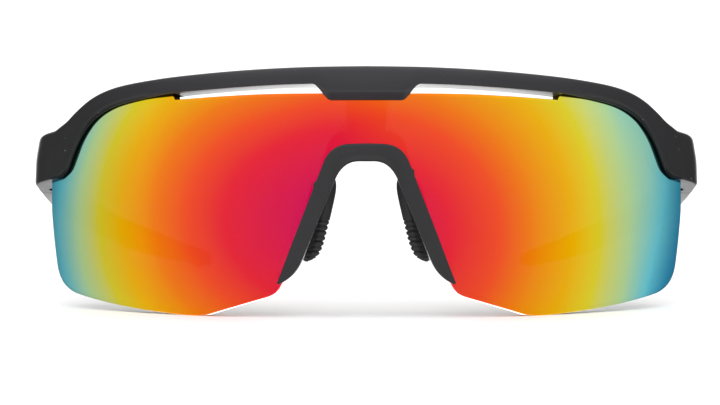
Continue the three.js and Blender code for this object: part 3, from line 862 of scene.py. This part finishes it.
def makeTemple(side):
    # the front edge is bevelled against the block, and a slimmer tang goes into the ear grip
    values, hingeValues = templeShape, hingeShape
    start, end = layout["blockRear"] + values["seam"], values["gripStart"]
    full = start + values["seamBevel"]
    loops = [templeLoop(start, -values["seamBevel"])]
    loops += [templeLoop(y) for y in [full] + spread(full, end, values["step"])]
    loops += [templeLoop(y, -values["tang"]) for y in (end, end + 1)]
    hinge = layout["hinge"]
    tools = [("DIFFERENCE", drum(*hingeValues["blockClear"], hinge, 64)),
             ("UNION", drum(*hingeValues["knuckle"], hinge)),
             ("UNION", boxFrom(hinge, hingeValues["tongue"])),
             ("DIFFERENCE", drum(*hingeValues["bushHole"], hinge))]
    bm = mirrorSide(combined(skin(loops), *tools), side)
    return addPiece(f"{side}Temple", bm, mattBlack, f"{side}_arm", [f"{side}_temple"], 38)


gripShape = {
    "gap": 0.2, "proud": 0.25, "lip": 1.0, "lipDrop": 0.2, "ribHeight": 0.12, "ribPitch": 2.4,
    "ribsRise": (84, 87), "ribsFade": (103, 106), "tip": 3, "tipPower": 2.6, "tipLeast": 0.02,
    "step": 0.35, "tipStep": 0.15,
}


def makeEarGrip(side):
    values = gripShape
    start, end = templeShape["gripStart"] + values["gap"], templeShape["length"]
    tipStart = end - values["tip"]
    loops = []
    for y in [start] + spread(start, tipStart, values["step"]) + spread(tipStart, end, values["tipStep"]):
        closing = max(0.0, (y - end + values["tip"]) / values["tip"]) ** values["tipPower"]
        shrink = math.sqrt(max(values["tipLeast"], 1 - closing))
        lip = values["lipDrop"] * (1 - ease(y, start, start + values["lip"]))
        wave = math.sin((y - values["ribsRise"][0]) * 2 * math.pi / values["ribPitch"])
        rib = values["ribHeight"] * wave * ease(y, *values["ribsRise"]) * (1 - ease(y, *values["ribsFade"]))
        loops.append(templeLoop(y, values["proud"] - lip + rib, shrink))
    bm = mirrorSide(standOnTable(skin(loops)), side)
    return addPiece(f"{side}EarGrip", bm, blackRubber, f"{side}_arm", [f"{side}_ear_grip"], 50)


def makeScrew(side):
    hinge = layout["hinge"]
    head = drum(*hingeShape["screwHead"], hinge, 40)
    shank = drum(*hingeShape["screwShank"], hinge, 32)
    bm = combined(head, ("UNION", shank), ("DIFFERENCE", boxFrom(hinge, hingeShape["screwSlot"])))
    bm = mirrorSide(bm, side)
    return addPiece(f"{side}HingeScrew", bm, steel, "front", [f"{side}_hinge_screw"])


for side in sides:
    makeNosePad(side)
    makePadWire(side)
    makeTemple(side)
    makeEarGrip(side)
    makeScrew(side)
    for node in (f"{side}_hinge_bush", f"{side}_hinge_insert"):
        frame["nodes"][node].data.materials.clear()
        frame["nodes"][node].data.materials.append(brass)
print("side pieces made")

# skyY and skyZ are pairs of a direction's part along y or z and the brightness there
studio = {
    "floor": (0.93, 0.93, 0.93), "floorRoughness": 0.9, "floorHalf": 3.0, "flatTo": 1.2, "bendRadius": 0.8,
    "bendSteps": 16, "wallTop": 3.0,
    "lampPlace": (0, 0.1, 1.4), "lampSize": (1.6, 1.2), "lampPower": 6, "lampAim": (0, 0, 0.02),
    "skyY": [(-1, 1), (-0.4, 1), (0, 0.72), (0.22, 0.42), (0.5, 0.25), (0.72, 0.25), (0.84, 1.05),
             (0.92, 3.0), (1, 3.9)],
    "skyZ": [(-0.95, 0.1), (-0.87, 0.2), (-0.78, 2.2), (-0.66, 2.0), (-0.48, 0.92), (-0.2, 0.96), (0.1, 1),
             (0.34, 1), (0.65, 1.8)],
}


def makeBackdrop():
    # a pale sheet that lies flat, bends up behind the glasses and rises as a wall
    values = studio
    bm = bmesh.new()
    start = bm.verts.new((-values["floorHalf"], -values["floorHalf"], 0))
    end = bm.verts.new((values["floorHalf"], -values["floorHalf"], 0))
    edge = bm.edges.new((start, end))
    flatTo, radius, steps = values["flatTo"], values["bendRadius"], values["bendSteps"]
    profile = [(flatTo, 0)]
    profile += [(flatTo + radius * math.sin(t), radius * (1 - math.cos(t)))
                for t in (math.pi / 2 * k / steps for k in range(1, steps + 1))]
    profile.append((flatTo + radius, values["wallTop"]))
    for y, z in profile:
        made = bmesh.ops.extrude_edge_only(bm, edges=[edge])
        for vert in [item for item in made["geom"] if isinstance(item, bmesh.types.BMVert)]:
            vert.co.y, vert.co.z = y, z
        edge = next(item for item in made["geom"] if isinstance(item, bmesh.types.BMEdge))
    obj = meshObject("backdrop", bm)
    obj.data.shade_smooth()
    material, nodes, _ = newFinish("paleSweep")
    nodes["Principled BSDF"].inputs["Base Color"].default_value = (*values["floor"], 1)
    nodes["Principled BSDF"].inputs["Roughness"].default_value = values["floorRoughness"]
    obj.data.materials.append(material)
    obj.visible_glossy = False


def addSoftbox(name, place, size, power):
    light = bpy.data.lights.new(name, "AREA")
    light.shape, light.size, light.size_y, light.energy = "RECTANGLE", *size, power
    obj = bpy.data.objects.new(name, light)
    obj.location = place
    aim = Vector(studio["lampAim"]) - Vector(place)
    obj.rotation_euler = aim.to_track_quat("-Z", "Y").to_euler()
    bpy.context.scene.collection.objects.link(obj)


makeBackdrop()
addSoftbox("topSoftbox", studio["lampPlace"], studio["lampSize"], studio["lampPower"])
world = bpy.data.worlds.new("studioWorld")
world.use_nodes = True
# the room is white in front and behind, dark at the back on both sides, bright overhead and dim below
skyNodes, skyLinks = world.node_tree.nodes, world.node_tree.links
direction = skyNodes.new("ShaderNodeTexCoord")
parts = splitPlace(skyNodes, skyLinks, direction.outputs["Generated"])
levels = []
for axis in "YZ":
    spot = ranged(skyNodes, skyLinks, parts[axis], -1, 1)
    stops = [((place + 1) / 2, [level] * 3) for place, level in studio["sky" + axis]]
    levels.append(ramped(skyNodes, skyLinks, spot, stops))
strength = calculated(skyNodes, skyLinks, "MULTIPLY", *levels)
skyLinks.new(strength, skyNodes["Background"].inputs["Strength"])
skyNodes["Background"].inputs["Color"].default_value = (1, 1, 1, 1)
bpy.context.scene.world = world
bpy.context.scene.view_settings.view_transform = "Standard"

view = {"distance": 423.0, "focal": 102.0, "sensor": 36.0, "shift": -0.0089}
camera = bpy.data.cameras.new("camera")
camera.lens, camera.sensor_width, camera.shift_x = view["focal"], view["sensor"], view["shift"]
cameraObject = bpy.data.objects.new("camera", camera)
cameraObject.location = toRow @ Vector((0, -view["distance"], 0))
cameraObject.rotation_euler = (math.pi / 2 - lean, 0, 0)
bpy.context.scene.collection.objects.link(cameraObject)
bpy.context.scene.camera = cameraObject
print("studio made")
